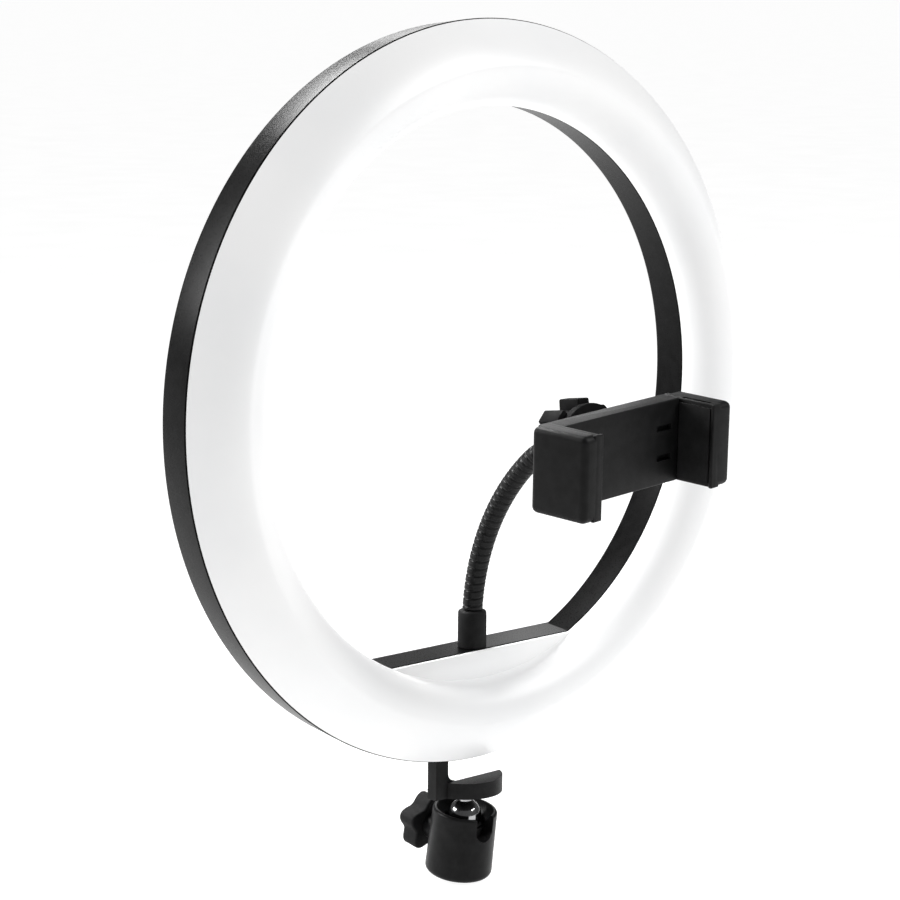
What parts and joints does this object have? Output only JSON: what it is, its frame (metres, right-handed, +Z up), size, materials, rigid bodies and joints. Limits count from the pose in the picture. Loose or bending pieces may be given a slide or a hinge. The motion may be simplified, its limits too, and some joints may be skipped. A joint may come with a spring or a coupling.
{
  "type": "ring light",
  "caption": "Ring light with a domed diffuser, a phone clip on a gooseneck and a small ball head that screws onto a tripod.",
  "frame": {"origin": "centre of the ball head's base, where the tripod screw enters", "axes": "+Z up along the upright ring, -Y out of the lit face, +X to the right seen from the front"},
  "size_m": [0.26, 0.12, 0.3067],
  "materials": {
    "head_anodised": "satin black anodised",
    "insert_brass": "machined",
    "seat_nylon": "smooth nylon",
    "steel": "plated",
    "knob_rubber": "soft matt",
    "ball_chrome": "polished",
    "bracket_paint": "satin black",
    "housing_black": "fine satin",
    "diffuser_white": "milky satin",
    "led_board": "white solder mask",
    "black_rubber": "matt",
    "neck_black": "satin sleeve",
    "clip_black": "fine texture"
  },
  "bodies": {
    "head": {"head_body": "head_anodised", "tripod_insert": "insert_brass"},
    "lock_knob": {"lock_knob": "knob_rubber", "lock_screw": "steel"},
    "seat": {"seat_plunger": "seat_nylon"},
    "seat_liner": {"ball_liner": "seat_nylon"},
    "stud": {"ball_stud": "ball_chrome"},
    "ring": {"rear_shell": "housing_black", "diffuser": "diffuser_white", "led_board_left": "led_board", "led_board_right": "led_board", "cable_gland": "black_rubber", "bracket": "bracket_paint", "bracket_screw_1": "steel", "bracket_screw_2": "steel", "shell_screw_1": "steel", "shell_screw_2": "steel", "shell_screw_3": "steel", "shell_screw_4": "steel", "shell_screw_5": "steel", "shell_screw_6": "steel", "shell_screw_7": "steel", "shell_screw_8": "steel", "neck_nut": "steel", "neck_collar": "black_rubber", "neck_section_0": "neck_black"},
    "neck_1": {"neck_section_1": "neck_black"},
    "neck_2": {"neck_section_2": "neck_black"},
    "neck_3": {"neck_section_3": "neck_black"},
    "neck_4": {"neck_section_4": "neck_black"},
    "neck_5": {"neck_section_5": "neck_black", "neck_ferrule": "clip_black"},
    "clamp_nut": {"clamp_nut": "clip_black"},
    "clip_cup": {"clip_ball_cup": "seat_nylon"},
    "clip_stud": {"clip_ball_stud": "clip_black"},
    "clip": {"clip_body": "clip_black", "clip_cover": "clip_black", "clip_spring": "steel", "jaw_pad_left": "black_rubber", "clip_screw_1": "steel", "clip_screw_2": "steel", "clip_screw_3": "steel", "clip_screw_4": "steel"},
    "clip_slider": {"clip_slider": "clip_black", "jaw_pad_right": "black_rubber"}
  },
  "joints": [
    {"name": "lock_knob_turn", "type": "hinge", "parent": "head", "child": "lock_knob", "pos_m": [0, -0.00177, 0.01187], "axis": [0, 0.989, 0.1478], "range_deg": [0, 360]},
    {"name": "seat_lift", "type": "slide", "parent": "head", "child": "seat", "axis": [0, -0.1478, 0.989], "range_m": [-0.00031, 0.00001]},
    {"name": "side_tilt", "type": "hinge", "parent": "head", "child": "seat_liner", "pos_m": [0, -0.00328, 0.02196], "axis": [0, 1, 0], "range_deg": [-26, 18]},
    {"name": "fore_tilt", "type": "hinge", "parent": "seat_liner", "child": "stud", "pos_m": [0, -0.00328, 0.02196], "axis": [1, 0, 0], "range_deg": [-20, 36]},
    {"name": "ring_pan", "type": "hinge", "parent": "stud", "child": "ring", "pos_m": [0, -0.00328, 0.02196], "axis": [0, 0, 1], "continuous": true},
    {"name": "neck_bend_1", "type": "hinge", "parent": "ring", "child": "neck_1", "pos_m": [0, -0.00732, 0.1062], "axis": [1, 0, 0], "range_deg": [-22, 22]},
    {"name": "neck_sway_1", "type": "hinge", "parent": "neck_1", "child": "neck_2", "pos_m": [0, -0.01112, 0.12069], "axis": [0, 0.9404, 0.34], "range_deg": [-22, 22]},
    {"name": "neck_bend_2", "type": "hinge", "parent": "neck_2", "child": "neck_3", "pos_m": [0, -0.01747, 0.13426], "axis": [1, 0, 0], "range_deg": [-22, 22]},
    {"name": "neck_sway_2", "type": "hinge", "parent": "neck_3", "child": "neck_4", "pos_m": [0, -0.02615, 0.14647], "axis": [0, 0.7594, 0.6506], "range_deg": [-22, 22]},
    {"name": "neck_bend_3", "type": "hinge", "parent": "neck_4", "child": "neck_5", "pos_m": [0, -0.0369, 0.15688], "axis": [1, 0, 0], "range_deg": [-22, 22]},
    {"name": "clamp_nut_turn", "type": "hinge", "parent": "neck_5", "child": "clamp_nut", "pos_m": [0, -0.06348, 0.16439], "axis": [0, -0.9903, 0.1392], "range_deg": [0, 360]},
    {"name": "clip_pan", "type": "hinge", "parent": "neck_5", "child": "clip_cup", "pos_m": [0, -0.06348, 0.16439], "axis": [-0.0461, -0.0606, 0.9971], "range_deg": [-14, 6]},
    {"name": "clip_tilt", "type": "hinge", "parent": "clip_cup", "child": "clip_stud", "pos_m": [0, -0.06348, 0.16439], "axis": [0.9953, 0.0821, 0.051], "range_deg": [-14, 3]},
    {"name": "clip_roll", "type": "hinge", "parent": "clip_stud", "child": "clip", "pos_m": [0, -0.06348, 0.16439], "axis": [-0.0849, 0.9948, 0.0565], "continuous": true},
    {"name": "jaw_slide", "type": "slide", "parent": "clip", "child": "clip_slider", "axis": [0.9953, 0.0821, 0.051], "range_m": [0, 0.03], "stiffness_N_per_m": 120, "springref_m": -0.03}
  ],
  "couplings": [
    {"joint": "seat_lift", "follows": "lock_knob_turn", "m_per_rad": -0.000047747}
  ]
}
